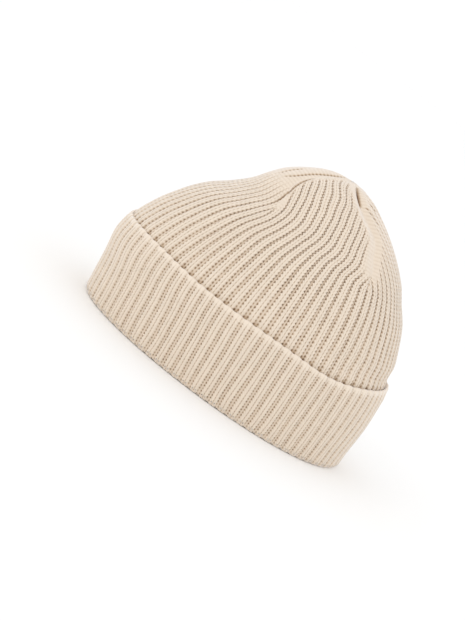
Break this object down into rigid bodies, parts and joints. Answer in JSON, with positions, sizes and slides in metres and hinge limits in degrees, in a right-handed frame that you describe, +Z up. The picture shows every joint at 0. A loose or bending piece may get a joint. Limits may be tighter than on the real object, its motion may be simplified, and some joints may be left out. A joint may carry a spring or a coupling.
{
  "type": "cuffed beanie",
  "caption": "Rib-knit beanie with a domed crown closed by four darts and a deep turned-up cuff, standing open on its rim.",
  "frame": {"origin": "centre of the rim's footprint, on the surface that the hat rests on", "axes": "+Z up through the crown, -Y towards the forehead, +Y towards the nape, +X towards the wearer's left"},
  "size_m": [0.1782, 0.2282, 0.171],
  "materials": {
    "crown_knit": "matt cream cotton in 2x1 rib knit",
    "cuff_knit": "matt cream cotton in 2x1 rib knit"
  },
  "bodies": {
    "root": {"crown": "crown_knit", "cuff": "cuff_knit"}
  },
  "joints": []
}
